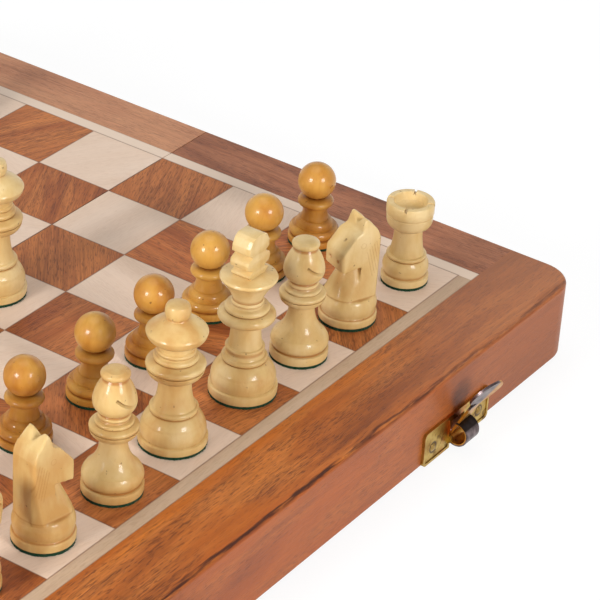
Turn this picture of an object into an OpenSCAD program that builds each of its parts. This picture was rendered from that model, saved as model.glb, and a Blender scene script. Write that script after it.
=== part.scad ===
// Folding chess box: two shallow half boxes hinged at the fold, their backs forming the board.
// Opened flat it is the board; folded, the men lie inside and two clasps hold it shut.
// Millimetres. X runs along the near edge, +Y across the fold to the far half, +Z up.
// Origin: the middle of the fold, on the plane of the rims that the open board rests on.

/* [Board] */
// Side of one square of the board
square_w = 30; // [27:0.5:36]
// Thickness of the inlaid squares and of the pale strip round them
tile_t = 3; // [2:0.25:4]
// Gap between two neighbouring inlaid pieces
inlay_joint = 0.04; // [0.02:0.01:0.08]
// Width of the pale strip round the squares
strip_w = 5; // [3:0.5:8]
// Thickness of the plywood panel under the squares
panel_t = 2.5; // [2:0.25:4]
// Thickness of the felt glued under the panel
lining_t = 0.8; // [0.5:0.1:1.5]

/* [Rails] */
// Height of one half, from its rim to the board
half_h = 26.5; // [24:0.5:32]
// Width of the side rails, seen on the board
side_rail_w = 21; // [20:0.5:30]
// Width of the near and far rails, seen on the board
end_rail_w = 25.5; // [22:0.5:34]
// Thickness of the rails' outer wall
wall_t = 12; // [9:0.5:14]
// Thickness of the wall beside the fold
spine_t = 10; // [9.5:0.5:14]
// Depth of the groove that holds the panel
groove_d = 5; // [3:0.5:6]
// Room round the panel in its groove
panel_slack = 0.3; // [0.1:0.1:0.6]
// Thickness of the lip under the groove
lip_t = 3; // [2:0.5:4]
// Radius of the upper outer edges
top_edge_r = 1; // [0.5:0.25:3]
// Radius of the lower outer edges
low_edge_r = 1; // [0.6:0.2:2]
// Radius of the box's corners, seen from above
corner_r = 12; // [6:0.5:16]

/* [Fold and hinges] */
// Gap between the two halves along the fold
fold_gap = 0.3; // [0.2:0.05:0.6]
// Gap between the rims when the box is shut
shut_gap = 0.2; // [0.1:0.05:0.4]
// Distance of each hinge from the middle of the box
hinge_x = 75; // [50:1:95]
// Length of a hinge
hinge_len = 32; // [24:1:40]
// Reach of a hinge leaf over the rim
leaf_w = 9; // [7:0.25:9.25]
// Thickness of a hinge leaf
leaf_t = 0.9; // [0.7:0.1:1.2]
// Outer radius of the hinge barrel
barrel_r = 1.2; // [1.1:0.05:1.4]
// Radius of the hinge pin
hinge_pin_r = 0.6; // [0.4:0.05:0.7]
// Radius of a hinge screw's shank
screw_r = 0.9; // [0.7:0.1:1.1]
// Length of a hinge screw
screw_len = 8; // [5:0.5:12]

/* [Clasps] */
// Distance of each clasp from the middle of the box
clasp_x = 72.3; // [55:0.1:100]
// Length of a clasp plate
plate_w = 37.6; // [34:0.2:44]
// Height of a clasp plate
plate_h = 12; // [11.4:0.2:14]
// Thickness of a clasp plate
plate_t = 1; // [0.8:0.1:1.2]
// Distance between a plate's two nails
nail_spacing = 26.6; // [22:0.2:28]
// Height of the nails above the rim
nail_z = 5; // [4:0.1:6]
// Radius of a nail's shank
nail_r = 0.7; // [0.5:0.1:0.9]
// Length of a nail in the wood
nail_len = 8; // [5:0.5:11]
// Width of the mortise that the catch drops into
mortise_w = 10.4; // [10:0.2:12]
// Height of the mortise
mortise_h = 9.8; // [9.6:0.1:10.4]
// Depth of the mortise in the wood
mortise_d = 4.8; // [4.6:0.2:6]
// Distance of the clasp's pin from the wood
pivot_out = 0.8; // [0.8:0.1:1.2]
// Height of the clasp's pin above the rim
pivot_up = 3.3; // [3:0.1:3.5]
// Outer radius of the clasp's knuckles
knuckle_r = 1.3; // [1.2:0.05:1.4]
// Radius of the clasp's pin
clasp_pin_r = 0.6; // [0.5:0.05:0.7]
// Running clearance round a pin or a shank
run_fit = 0.05; // [0.02:0.01:0.08]
// Width of the clasp's spring leaf
flap_w = 7; // [5.5:0.25:7.25]
// Length of the spring leaf from its pin to the thumb tab
flap_len = 15.5; // [14:0.5:17]
// Thickness of the spring leaf
flap_t = 0.8; // [0.6:0.1:1]
// Radius of the rolled catch on the leaf
catch_r = 4.2; // [3.8:0.05:4.3]
// Radius of the thumb tab
tab_r = 6; // [4.5:0.25:7]
// Rise of the open leaf above the level
open_angle = 63; // [58:1:66]
// Outward bend between the leaf and its thumb tab
tab_bend = 5; // [2:1:15]
// Twist of the thumb tab against the leaf
tab_twist = 10; // [0:1:12]

/* [Men] */
// Thickness of the felt under a man
felt_t = 0.8; // [0.5:0.1:1.2]
// Glue line between a man and its felt
glue_t = 0.02; // [0.01:0.01:0.05]
// Radius of a pawn's foot
pawn_r = 8.4; // [7:0.2:9.5]
// Height of a pawn
pawn_h = 28.4; // [25:0.2:32]
// Radius of a rook's foot
rook_r = 7.7; // [7:0.1:9.5]
// Height of a rook
rook_h = 29.3; // [26:0.2:34]
// Radius of a knight's foot
knight_r = 9.2; // [8:0.1:10]
// Height of a knight
knight_h = 37; // [33:0.5:41]
// Radius of a bishop's foot
bishop_r = 9.1; // [8:0.1:10]
// Height of a bishop
bishop_h = 40.8; // [36:0.2:45]
// Radius of a queen's foot
queen_r = 10.4; // [9:0.1:11.5]
// Height of a queen
queen_h = 47; // [42:0.5:52]
// Radius of a king's foot
king_r = 10.5; // [9:0.1:11.5]
// Height of a king
king_h = 55.2; // [49:0.2:61]
// Thickness of the cross on a king
cross_t = 6.6; // [4:0.2:8]

/* [Hidden] */
$fn = 64;
FILES = ["a", "b", "c", "d", "e", "f", "g", "h"];
RANK_MEN = ["rook", "knight", "bishop", "queen", "king", "bishop", "knight", "rook"];
function rank_names(side) = [for (f = [0:7])
    str(side, "_", RANK_MEN[f], (f == 3 || f == 4) ? "" : str("_", FILES[f]))];
function pawn_names(side) = [for (f = [0:7]) str(side, "_pawn_", FILES[f])];

past = 1;                                   // how far a cut runs past the face it opens
seam = fold_gap / 2;
field = 4 * square_w;
inner = field + strip_w;
outer_x = inner + side_rail_w;
outer_y = inner + end_rail_w;
tile_z = half_h - tile_t;
panel_z = tile_z - panel_t;
lip_z = panel_z - lip_t;
pit_x = outer_x - wall_t;                   // inside faces of the outer walls
pit_y = outer_y - wall_t;
axis_z = -shut_gap / 2;                     // height of the fold's axis
bore_r = hinge_pin_r + run_fit;
knuckle_gap = 0.2;
head_r = 2 * screw_r;
dome_r = 1.5;                               // head of a clasp nail
dome_h = 0.6;
screw_y = leaf_w * 0.6;
pivot_y = -(outer_y + pivot_out);
ear_gap = 0.25;
ear_w = 0.8;
slot_w = flap_w + 2 * ear_gap;              // slot in a clasp plate, in front of the mortise

wood = "#9c5a38";
wood_dark = "#8a4a2c";
pale_wood = "#dccbb3";
ply = "#c9a878";
felt_green = "#1f5a3c";
brass = "#b8943f";
light_man = "#e2c68c";
dark_man = "#4a2413";

module block(low, high) { translate(low) cube(high - low); }

// ---- Outlines -------------------------------------------------------------------------------

// A round bead whose widest radius is r at height z
function bead(r, z, half) = [for (a = [-90:22.5:90]) [r - half + half * cos(a), z + half * sin(a)]];

// A line from one point to another that bows outwards, or inwards where bow is negative
function bowed(from, to, bow) =
    let (run = to - from, side = [run.y, -run.x] / norm(run))
    [for (i = [0:8]) let (t = i / 8) from + run * t + side * bow * 4 * t * (1 - t)];

// The foot of every turned man: a disc with eased edges and a groove above it
function foot(r, top) = [[0, felt_t], [r - 0.5, felt_t], [r - 0.12, felt_t + 0.15], [r, felt_t + 0.5],
    [r, top - 0.5], [r - 0.12, top - 0.15], [r - 0.5, top], [r - 0.9, top], [r - 0.9, top + 0.25]];

// Stretches an outline drawn at one radius and height to the wanted ones, keeping the felt's level
function fitted(points, k_r, k_h) =
    [for (p = points) [p.x * k_r, felt_t + (p.y - felt_t) * k_h]];

// ---- The two halves -------------------------------------------------------------------------

// Cuts the corner off along +X: the edge lies on the X axis, the material towards +Y and -Z
module edge_round(length, r) {
    difference() {
        translate([0, -past, -r]) cube([length, r + past, r + past]);
        rotate([0, 90, 0]) translate([r, r, -past]) cylinder(r = r, h = length + 2 * past);
    }
}

// The same cut, carried round a corner of the box seen from above
module corner_edge_round(r) {
    rotate_extrude(angle = 90) difference() {
        translate([corner_r - r, -r]) square([r + past, r + past]);
        translate([corner_r - r, -r]) circle(r);
    }
}

// Everything outside the rounded outer shape of the near half, at its top edge
module rim_round(r) {
    straight_x = outer_x - corner_r;
    straight_y = outer_y - corner_r;
    translate([-straight_x, -outer_y, 0]) edge_round(2 * straight_x, r);
    for (side = [-1, 1]) on_side(side) {
        translate([outer_x, -straight_y, 0]) rotate([0, 0, 90]) edge_round(straight_y + past, r);
        translate([straight_x, -straight_y, 0]) rotate([0, 0, -90]) corner_edge_round(r);
    }
}

// Draws on the right, or mirrored on the left where side is negative
module on_side(side) { if (side > 0) children(); else mirror([1, 0, 0]) children(); }

module outer_round() {
    translate([0, 0, half_h]) rim_round(top_edge_r);
    mirror([0, 0, 1]) rim_round(low_edge_r);
    for (side = [-1, 1]) on_side(side) difference() {
        block([outer_x - corner_r, -outer_y - past, -past], [outer_x + past, corner_r - outer_y, half_h + past]);
        translate([outer_x - corner_r, corner_r - outer_y, -2 * past])
            cylinder(r = corner_r, h = half_h + 4 * past);
    }
}

module at_clasps() { for (side = [-1, 1]) translate([side * clasp_x, 0, 0]) children(); }

module at_hinges() { for (side = [-1, 1]) translate([side * hinge_x, 0, 0]) children(); }

module at_nails() { for (side = [-1, 1]) translate([side * nail_spacing / 2, 0, nail_z]) children(); }

module end_rail() {
    difference() {
        block([-outer_x, -outer_y, 0], [outer_x, -inner, half_h]);
        block([-pit_x, -pit_y, -past], [pit_x, -inner + past, lip_z]);
        block([-inner - groove_d, -inner - groove_d, panel_z], [inner + groove_d, -inner + past, tile_z]);
        outer_round();
        at_clasps() {
            block([-mortise_w / 2, -outer_y - past, -past], [mortise_w / 2, mortise_d - outer_y, mortise_h]);
            at_nails() translate([0, -outer_y - past, 0]) rotate([-90, 0, 0])
                cylinder(r = nail_r + run_fit, h = nail_len + run_fit + past);
        }
    }
}

module side_rails() {
    for (side = [-1, 1]) on_side(side) difference() {
        block([inner, -inner, 0], [outer_x, -seam, half_h]);
        block([inner - past, -inner - past, -past], [pit_x, past, lip_z]);
        block([inner - past, -inner - past, panel_z], [inner + groove_d, past, tile_z]);
        outer_round();
    }
}

module spine() {
    difference() {
        union() {
            block([-pit_x, -seam - spine_t, 0], [pit_x, -seam, lip_z]);
            block([-inner, -seam - spine_t, lip_z], [inner, -seam, panel_z]);
        }
        at_hinges() {
            half_len = hinge_len / 2 + run_fit;
            block([-half_len, -leaf_w - run_fit, -past], [half_len, past, leaf_t]);
            translate([-half_len - knuckle_gap, 0, axis_z]) rotate([0, 90, 0])
                cylinder(r = barrel_r + 0.3, h = 2 * (half_len + knuckle_gap));
            at_screws() translate([0, 0, -past]) cylinder(r = screw_r + run_fit, h = screw_len + past + run_fit);
        }
    }
}

module panel() {
    edge = inner + groove_d - panel_slack;
    block([-edge, -edge, panel_z], [edge, -seam, tile_z]);
}

module squares(ranks, remainder) {
    gap = inlay_joint / 2;
    for (rank = ranks, file = [0:7]) if ((rank + file) % 2 == remainder) {
        low = [(file - 4) * square_w + gap, (rank - 4) * square_w + gap, tile_z];
        high = [(file - 3) * square_w - gap, (rank - 3) * square_w - gap, half_h];
        block([low.x, rank == 4 ? seam : low.y, low.z], [high.x, rank == 3 ? -seam : high.y, high.z]);
    }
}

module strips() {
    gap = inlay_joint;
    block([-field, -inner + gap, tile_z], [field, -field - gap / 2, half_h]);
    for (side = [-1, 1]) on_side(side)
        block([field + gap, -inner + gap, tile_z], [inner - gap, -seam, half_h]);
}

module lining() {
    edge = inner - panel_slack;
    block([-edge, -edge, panel_z - lining_t], [edge, -seam - spine_t - panel_slack, panel_z]);
}

// ---- Hinges ---------------------------------------------------------------------------------

module at_screws() {
    for (x = [-hinge_len / 3, 0, hinge_len / 3]) translate([x, -screw_y, 0]) children();
}

// One leaf with its own knuckles, from the list of thirds of the barrel that it carries
module hinge_leaf(thirds) {
    third = hinge_len / 3;
    at_hinges() difference() {
        union() {
            block([-hinge_len / 2, -leaf_w, 0], [hinge_len / 2, -barrel_r - 0.25, leaf_t]);
            for (i = thirds) translate([(i - 1.5) * third + knuckle_gap / 2, 0, 0]) {
                block([0, -leaf_w / 2, 0], [third - knuckle_gap, 0, leaf_t]);
                translate([0, 0, axis_z]) rotate([0, 90, 0]) cylinder(r = barrel_r, h = third - knuckle_gap);
            }
        }
        translate([-hinge_len, 0, axis_z]) rotate([0, 90, 0]) cylinder(r = bore_r, h = 2 * hinge_len);
        at_screws() {
            translate([0, 0, -past]) cylinder(r = screw_r + run_fit, h = leaf_t + 2 * past);
            cylinder(r1 = head_r + run_fit, r2 = screw_r + run_fit, h = leaf_t);
        }
    }
}

module hinge_screws() {
    at_hinges() at_screws() difference() {
        union() {
            cylinder(r1 = head_r, r2 = screw_r, h = leaf_t);
            cylinder(r = screw_r, h = screw_len);
        }
        block([-head_r, -0.25, -past], [head_r, 0.25, 0.4]);
    }
}

// ---- Clasps ---------------------------------------------------------------------------------

// A plate in the plane of the near face, its lower edge on the rim
module clasp_plate() {
    round_r = 1.6;
    border = 0.9;
    step = 0.3;
    translate([0, -outer_y, 0]) rotate([90, 0, 0]) difference() {
        linear_extrude(plate_t) difference() {
            plate_outline(plate_w / 2, 0, plate_h, round_r);
            translate([-slot_w / 2, -past]) square([slot_w, mortise_h + past]);
            for (side = [-1, 1]) translate([side * nail_spacing / 2, nail_z]) circle(nail_r + run_fit);
        }
        for (side = [-1, 1]) translate([side * (plate_w + slot_w) / 4, 0, plate_t - step])
            linear_extrude(step + past)
            plate_outline((plate_w - slot_w) / 4 - border, border, plate_h - border, round_r - border / 2);
    }
}

module plate_outline(half, low, high, r) {
    translate([-half + r, low]) square([2 * (half - r), high - low]);
    translate([-half, low + r]) square([2 * half, high - low - 2 * r]);
    for (x = [-half + r, half - r], y = [low + r, high - r]) translate([x, y]) circle(r);
}

module clasp_plates() {
    at_clasps() {
        clasp_plate();
        for (side = [-1, 1]) on_side(side) translate([slot_w / 2, pivot_y, pivot_up])
            rotate([0, 90, 0]) cylinder(r = knuckle_r, h = ear_w);
        pin_half = slot_w / 2 + ear_w;
        translate([-pin_half, pivot_y, pivot_up]) rotate([0, 90, 0])
            cylinder(r = clasp_pin_r, h = 2 * pin_half);
    }
}

// Round-headed nails through a plate into the near rail
module plate_nails() {
    ball_r = (dome_r * dome_r + dome_h * dome_h) / (2 * dome_h);
    at_clasps() at_nails() translate([0, -outer_y - plate_t + 0.3, 0]) rotate([90, 0, 0]) {
        translate([0, 0, -plate_t + 0.3 - nail_len]) cylinder(r = nail_r, h = nail_len + plate_t);
        intersection() {
            cylinder(r = dome_r + past, h = dome_h);
            translate([0, 0, dome_h - ball_r]) sphere(ball_r);
        }
    }
}

// The strip of the flap from the side: the pin at the origin, the leaf along X, the catch above it
module flap_outline() {
    catch_at = [catch_r - 1.4, 0.8];
    leaf_low = 0.03 - knuckle_r;
    difference() {
        union() {
            circle(knuckle_r);
            translate([-knuckle_r / 2, leaf_low]) square([flap_len + knuckle_r / 2, flap_t]);
            difference() {
                translate(catch_at) circle(catch_r);
                translate(catch_at) circle(catch_r - flap_t);
                translate([-catch_r, leaf_low - 2 * catch_r]) square([3 * catch_r, 2 * catch_r + flap_t / 2]);
            }
        }
        circle(clasp_pin_r + run_fit);
    }
}

// The flap lying along +Y from its pin, with its catch upwards
module flap_shape() {
    neck_w = 0.6 * flap_w;
    translate([-flap_w / 2, 0, 0]) rotate([90, 0, 90]) linear_extrude(flap_w) flap_outline();
    translate([0, flap_len - 1, -knuckle_r - 0.04]) rotate([tab_bend, -tab_twist, 0]) linear_extrude(flap_t) {
        translate([-neck_w / 2, 0]) square([neck_w, tab_r]);
        translate([0, tab_r + 0.6]) circle(tab_r);
    }
}

module clasp_flap(side) {
    translate([side * clasp_x, pivot_y, pivot_up]) rotate([180 - open_angle, 0, 0]) flap_shape();
}

// ---- Men ------------------------------------------------------------------------------------

module turned(points) { rotate_extrude() polygon(concat(points, [[0, points[len(points) - 1].y]])); }

module felt_disc(r) { color(felt_green) cylinder(r = r - 0.15, h = felt_t - glue_t); }

module pawn() {
    ball_r = 6.2;
    ball_z = 28.4 - ball_r;
    collar = bead(5.9, 15, 1.25);
    outline = concat(
        foot(8.4, 3.1), bowed([7.5, 3.4], [7.3, 6.2], 0.75),
        [[6.3, 6.3], [6.3, 6.8]], bowed([6.2, 6.9], [5.0, 8.8], 0.3), [[4.6, 8.9]],
        bowed([4.6, 9.1], [4.2, 13.4], -0.35), [[4.6, 13.7]], collar,
        [for (a = [-68:11:90]) [ball_r * cos(a), ball_z + ball_r * sin(a)]]);
    turned(fitted(outline, pawn_r / 8.4, (pawn_h - felt_t) / (28.4 - felt_t)));
    felt_disc(pawn_r);
}

module rook() {
    outline = concat(
        foot(7.7, 3.3), bowed([6.8, 3.6], [6.3, 9.1], 0.9), [[5.9, 9.2]], bead(6.5, 10, 0.7),
        bowed([5.6, 10.7], [4.6, 19.8], -0.35), [[5.2, 20.0]], bowed([5.3, 20.1], [7.4, 22.6], 0.5),
        [[7.5, 24.5], [7.2, 24.8], [7.2, 25.0], [7.6, 25.2], [7.7, 25.5], [7.7, 28.8], [7.45, 29.2],
         [7.1, 29.3], [5.8, 29.3], [5.5, 29.1], [5.1, 26.6], [4.4, 26.2]]);
    k_r = rook_r / 7.7;
    difference() {
        turned(fitted(outline, k_r, (rook_h - felt_t) / (29.3 - felt_t)));
        for (a = [20:90:290]) rotate([0, 0, a])
            block([4.8 * k_r, -0.45, rook_h - 0.9], [8.5 * k_r, 0.45, rook_h + past]);
    }
    felt_disc(rook_r);
}

module bishop() {
    k_h = (bishop_h - felt_t) / (40.8 - felt_t);
    outline = concat(
        foot(9.1, 3.7), bowed([8.2, 4.0], [8.2, 8.2], 0.8), bowed([8.2, 8.3], [4.0, 18.4], -1.3),
        [[4.2, 18.9], [5.2, 19.2]], bowed([5.3, 19.3], [7.1, 21.6], 0.5), bead(7.2, 22.4, 0.8),
        [[5.9, 23.4]], bead(5.7, 24.1, 0.6), [[4.4, 24.8], [4.2, 25.2]], bead(4.7, 26, 0.6),
        [[4.0, 26.8]], bowed([4.1, 27.1], [6.35, 31.2], 0.75), bowed([6.35, 31.3], [3.5, 38.0], 0.5),
        [[3.4, 38.3]], bead(4.3, 39.4, 1.0), [[3.0, 40.65], [1.6, 40.8]]);
    difference() {
        turned(fitted(outline, bishop_r / 9.1, k_h));
        translate([2.6, 0, 33.8 * k_h]) rotate([0, 40, 0]) block([0, -9, -0.4], [9, 9, 0.4]);
    }
    felt_disc(bishop_r);
}

module queen() {
    outline = concat(
        foot(10.4, 3.2), bowed([9.5, 3.5], [9.0, 8.2], 0.5), bowed([9.0, 8.3], [7.0, 10.9], 0.2),
        [[6.6, 11.1]], bead(7.3, 12.1, 0.9), [[6.2, 13.2]], bowed([6.1, 13.4], [5.0, 22.3], -0.5),
        [[5.4, 22.7]], bowed([5.5, 22.8], [8.6, 25.9], 0.8), bead(8.85, 27, 1.1), [[6.9, 28.5]],
        bead(6.7, 29.6, 0.9), [[5.5, 30.8]], bead(5.8, 31.6, 0.6), [[5.0, 32.4], [5.0, 33.8], [5.8, 34.6]],
        bowed([6.8, 35.0], [9.0, 37.6], 0.45), [[9.1, 38.1], [8.9, 38.6]],
        bowed([8.6, 38.9], [3.5, 42.2], 0.35), [[3.3, 42.5]], bowed([3.5, 42.8], [3.6, 46.0], 0.25),
        [[3.3, 46.6], [2.6, 46.9], [1.2, 47.0]]);
    turned(fitted(outline, queen_r / 10.4, (queen_h - felt_t) / (47 - felt_t)));
    felt_disc(queen_r);
}

module king() {
    k_h = (king_h - felt_t) / (55.2 - felt_t);
    outline = concat(
        foot(10.5, 3.8), bowed([9.6, 4.1], [9.2, 8.8], 0.5), bowed([9.2, 8.9], [6.8, 11.8], 0.2),
        [[6.4, 11.9]], bead(7.0, 12.9, 0.9), [[6.0, 13.9]], bowed([5.9, 14.2], [5.5, 15.8], -0.1),
        bead(6.0, 16.4, 0.5), [[5.2, 17.0]], bowed([5.1, 17.2], [4.6, 25.2], -0.2), [[5.6, 25.7]],
        bead(8.75, 27.4, 1.5), [[7.0, 29.0]], bead(6.8, 30.0, 0.9), [[5.0, 31.0]], bead(5.0, 32.2, 0.6),
        [[4.5, 33.0]], bowed([4.6, 33.5], [8.3, 39.6], -0.25), [[8.65, 40.0], [8.7, 40.4], [8.4, 40.9],
         [7.8, 41.1], [4.0, 41.5]]);
    turned(fitted(outline, king_r / 10.5, k_h));
    translate([0, cross_t / 2, 0]) rotate([90, 0, 0]) linear_extrude(cross_t) king_cross(k_h);
    felt_disc(king_r);
}

// Half of the carved cross seen from the front: three lobes with V cuts between them
module king_cross(k_h) {
    lobes = [[3.4, 40.9], [3.8, 41.6], [4.7, 42.4], [4.7, 43.0], [3.0, 43.9], [3.4, 44.3], [5.2, 45.2],
             [5.6, 46.6], [5.3, 47.6], [3.2, 48.8], [3.6, 49.2], [4.9, 50.0], [4.8, 52.0], [3.6, 54.2],
             [2.4, 55.0], [0, 55.2]];
    placed = fitted(lobes, king_r / 10.5, k_h);
    polygon(concat([[0, placed[0].y]], placed));
    mirror([1, 0]) polygon(concat([[0, placed[0].y]], placed));
}

// A carved horse's head on a turned drum, looking along +X
module knight() {
    k_r = knight_r / 9.2;
    k_h = (knight_h - felt_t) / (37 - felt_t);
    drum = concat(foot(9.2, 3.6), bowed([8.3, 3.9], [8.4, 9.0], 0.6), [[8.0, 9.7], [7.4, 10.0]]);
    turned(fitted(drum, k_r, k_h));
    felt_disc(knight_r);
    side_view = fitted([[-7.4, 9.6], [-7.6, 16], [-7.4, 29.5], [-6.0, 32.8], [-3.6, 35.6], [-1.9, 37.0],
        [-0.9, 34.8], [-0.5, 32.6], [1.8, 31.6], [6.2, 26.4], [6.8, 24.6], [6.6, 20.3], [5.8, 19.9],
        [-0.3, 20.7], [0.5, 9.6]], k_r, k_h);
    chest = fitted([[0, 9.6], [8.3, 9.6], [2.8, 21.4], [0, 21.4]], k_r, k_h);
    front_view = fitted([[-6.6, 9.6], [-5.3, 18], [-4.9, 31], [-4.2, 37], [-2.3, 37.0], [0, 34.0],
        [2.3, 37.0], [4.2, 37], [4.9, 31], [5.3, 18], [6.6, 9.6]], k_r, k_h);
    difference() {
        intersection() {
            union() {
                translate([0, 8, 0]) rotate([90, 0, 0]) linear_extrude(16) polygon(side_view);
                rotate_extrude() polygon(chest);
            }
            rotate([90, 0, 90]) translate([0, 0, -10]) linear_extrude(20) polygon(front_view);
            translate([-0.3, 0, 0]) cylinder(r = 8.2 * k_r, h = knight_h + past);
        }
        for (side = [-1, 1]) translate([6 * k_r, side * 2.1 * k_r, 23 * k_h]) rotate([0, 90, 0])
            cylinder(r = 0.7, h = 3);
        for (side = [-1, 1], i = [0:4])
            translate([(-6.6 + 0.8 * i) * k_r, side * 5.2 * k_r, (24.5 - 0.8 * i) * k_h]) rotate([0, 14, 0])
            block([-0.18, -0.8, -4.5 * k_h], [0.18, 0.8, 4.5 * k_h]);
    }
}

// Turns of the light rank's men and the shifts that a hand leaves them with on their squares
LIGHT_TURN = [0, -12, -75, 0, 0, -75, 157, 0];
RANK_SHIFT = [[0, -1.8], [-0.8, -2.1], [-0.8, -2.7], [0, -0.9], [4.6, -1.1], [2.4, -2.3], [0, -1.7], [1.2, -2.9]];
PAWN_SHIFT = [[1, 1], [0.8, 1.5], [2.7, 2.4], [4, 1.5], [2.4, 1.4], [4.6, 4.1], [4.8, 5], [3, 4]];

module man(kind) {
    if (kind == "pawn") pawn();
    if (kind == "rook") rook();
    if (kind == "knight") knight();
    if (kind == "bishop") bishop();
    if (kind == "queen") queen();
    if (kind == "king") king();
}

// A man standing on a square, counted from 0 along the files and the ranks
module stand(file, rank, shift) {
    translate([(file - 3.5) * square_w + shift.x, (rank - 3.5) * square_w + shift.y, half_h]) children();
}

module rank_man(side, file) {
    light = side == "light";
    color(light ? light_man : dark_man)
        stand(file, light ? 0 : 7, light ? RANK_SHIFT[file] : [0, 1])
        rotate([0, 0, light ? LIGHT_TURN[file] : -90]) man(RANK_MEN[file]);
}

module pawn_man(side, file) {
    light = side == "light";
    color(light ? light_man : dark_man)
        stand(file, light ? 1 : 6, light ? PAWN_SHIFT[file] : [0, -1]) man("pawn");
}

module spare_queen() { color(light_man) stand(4, 3, [0.5, 2.2]) man("queen"); }

module far() { mirror([0, 1, 0]) children(); }

// ---- The parts ------------------------------------------------------------------------------

color(wood) end_rail();  // near_rail
color(wood_dark) side_rails();  // near_side_rails
color(wood_dark) spine();  // near_spine
color(ply) panel();  // near_panel
color(wood_dark) squares([0:3], 0);  // near_dark_squares
color(pale_wood) squares([0:3], 1);  // near_light_squares
color(pale_wood) strips();  // near_strips
color(felt_green) lining();  // near_lining
color(wood) far() end_rail();  // far_rail
color(wood_dark) far() side_rails();  // far_side_rails
color(wood_dark) far() spine();  // far_spine
color(ply) far() panel();  // far_panel
color(wood_dark) squares([4:7], 0);  // far_dark_squares
color(pale_wood) squares([4:7], 1);  // far_light_squares
color(pale_wood) far() strips();  // far_strips
color(felt_green) far() lining();  // far_lining
color(brass) hinge_leaf([0, 2]);  // hinge_leaves_near
color(brass) far() hinge_leaf([1]);  // hinge_leaves_far
color(brass) at_hinges()  // hinge_pins
    translate([-hinge_len / 2, 0, axis_z]) rotate([0, 90, 0]) cylinder(r = hinge_pin_r, h = hinge_len);
color(brass) hinge_screws();  // hinge_screws_near
color(brass) far() hinge_screws();  // hinge_screws_far
color(brass) clasp_plates();
color(brass) plate_nails();  // clasp_nails
color(brass) clasp_flap(-1);  // clasp_flap_left
color(brass) clasp_flap(1);  // clasp_flap_right
color(brass) far() at_clasps() clasp_plate();  // keeper_plates
color(brass) far() plate_nails();  // keeper_nails
for (side = ["light", "dark"], file = [0:7]) {
    rank_man(side, file);
    pawn_man(side, file);
}
spare_queen();  // light_queen_spare
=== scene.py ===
import math
import random
import bpy
from mathutils import Matrix, Vector


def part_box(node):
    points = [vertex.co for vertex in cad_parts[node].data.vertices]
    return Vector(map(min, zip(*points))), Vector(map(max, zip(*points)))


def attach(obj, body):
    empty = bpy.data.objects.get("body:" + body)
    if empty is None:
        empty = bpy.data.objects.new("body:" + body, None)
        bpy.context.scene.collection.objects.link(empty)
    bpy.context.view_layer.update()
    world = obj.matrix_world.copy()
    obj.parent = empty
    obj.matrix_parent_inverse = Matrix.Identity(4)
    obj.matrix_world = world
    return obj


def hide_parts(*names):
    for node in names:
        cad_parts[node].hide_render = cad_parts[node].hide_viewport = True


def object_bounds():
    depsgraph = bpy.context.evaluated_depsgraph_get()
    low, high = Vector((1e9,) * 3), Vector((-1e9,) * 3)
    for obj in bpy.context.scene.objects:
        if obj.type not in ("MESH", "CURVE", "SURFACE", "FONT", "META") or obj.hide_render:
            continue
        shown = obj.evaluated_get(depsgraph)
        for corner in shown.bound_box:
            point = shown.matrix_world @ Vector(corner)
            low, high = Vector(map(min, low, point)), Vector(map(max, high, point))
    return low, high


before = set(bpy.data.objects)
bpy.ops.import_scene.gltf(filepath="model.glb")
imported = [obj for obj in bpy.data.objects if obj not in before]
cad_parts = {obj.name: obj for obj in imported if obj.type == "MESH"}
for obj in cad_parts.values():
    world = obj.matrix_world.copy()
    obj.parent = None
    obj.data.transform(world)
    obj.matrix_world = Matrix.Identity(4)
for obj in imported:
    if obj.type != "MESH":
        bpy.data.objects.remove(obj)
cad_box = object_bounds()

# ---- View --------------------------------------------------------------------------------------
# The camera stands off the board's near left corner and looks down across it at the near right
# part. Its lens is long, so that the rows of squares run away almost in parallel.
view_right = Vector((0.56939, -0.81989, 0.05971))
view_down = Vector((-0.3979, -0.33844, -0.85272))
view_back = Vector((-0.71935, -0.46177, 0.51894))
view_eye = Vector((-0.57385, -0.50535, 0.49379))
camera = bpy.data.objects.new("camera", bpy.data.cameras.new("camera"))
bpy.context.scene.collection.objects.link(camera)
camera.data.sensor_width = 36
camera.data.lens = 170.62
camera.matrix_world = Matrix((view_right, -view_down, view_back)).transposed().to_4x4()
camera.location = view_eye
bpy.context.scene.camera = camera
bpy.context.scene.view_settings.view_transform = "Standard"

# ---- Studio ------------------------------------------------------------------------------------
# Two square soft boxes face the board from the left and the right of the camera, and a larger and
# weaker one hangs overhead. Pale walls stand round the table under a dim ceiling.
board_middle = Vector((0.03, -0.05, 0.02))
soft_box_distance = 1.5
soft_box_width = 0.42


def soft_box(name, place, target, width, watts):
    light = bpy.data.lights.new(name, "AREA")
    light.shape = "SQUARE"
    light.size = width
    light.energy = watts
    box = bpy.data.objects.new(name, light)
    bpy.context.scene.collection.objects.link(box)
    box.location = place
    box.rotation_euler = (Vector(target) - Vector(place)).to_track_quat("-Z", "Y").to_euler()


for side, angle, watts in (("left", -37, 16.5), ("right", 39, 13.5)):
    turn = math.radians(angle)
    toward = view_back * math.cos(turn) + view_right * math.sin(turn)
    place = board_middle + toward * soft_box_distance
    soft_box("soft_box_" + side, place, board_middle, soft_box_width, watts)
soft_box("overhead", (0.1, 0.2, 1.6), (0, 0, 0), 1.2, 5.5)


def put(tree, kind, given=None, **settings):
    """A node with its settings, and its inputs set to a value or joined to another node's output."""
    node = tree.nodes.new("ShaderNode" + kind)
    for key, value in settings.items():
        setattr(node, key, value)
    for key, value in (given or {}).items():
        if isinstance(value, bpy.types.NodeSocket):
            tree.links.new(value, node.inputs[key])
        else:
            node.inputs[key].default_value = value
    return node


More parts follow.
